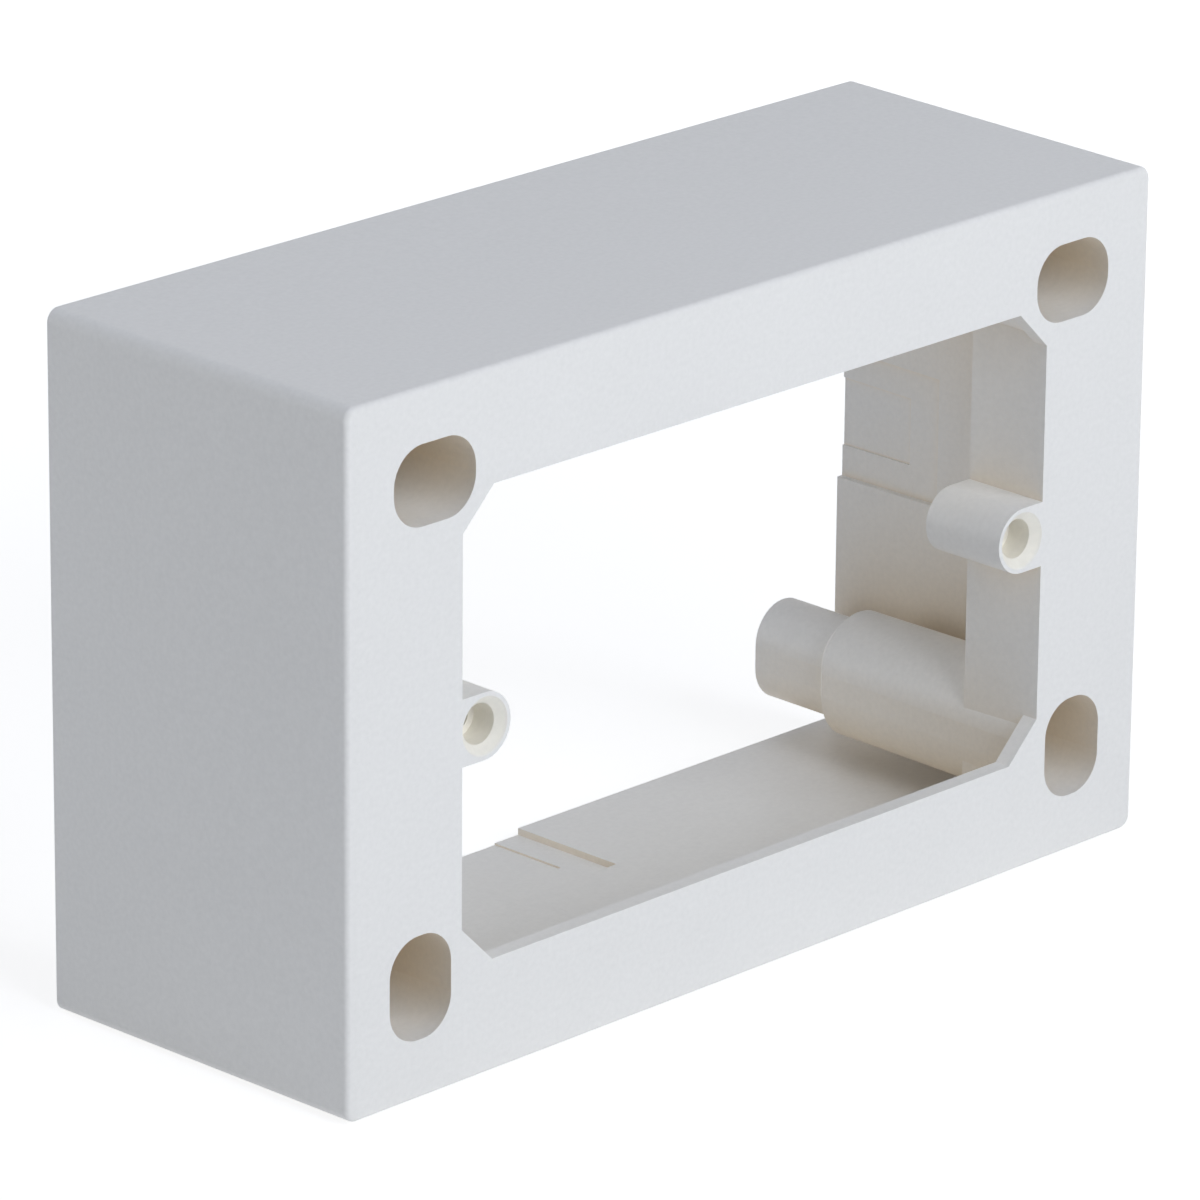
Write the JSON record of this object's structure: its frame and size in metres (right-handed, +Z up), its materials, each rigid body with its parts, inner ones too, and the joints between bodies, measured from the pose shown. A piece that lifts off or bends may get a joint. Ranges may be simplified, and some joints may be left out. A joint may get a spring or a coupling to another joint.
{
  "type": "surface mount box",
  "caption": "Open-backed moulded box that stands a wall plate off the wall, with a window, plate screw bosses and screw tubes in its corners.",
  "frame": {"origin": "centre of the open back, on the wall", "axes": "+X across the front face, +Y into the wall, +Z up; the front face looks along -Y"},
  "size_m": [0.1248, 0.045, 0.0798],
  "materials": {
    "white_plastic": "fine satin, as moulded"
  },
  "bodies": {
    "root": {"mounting_box": "white_plastic"}
  },
  "joints": []
}
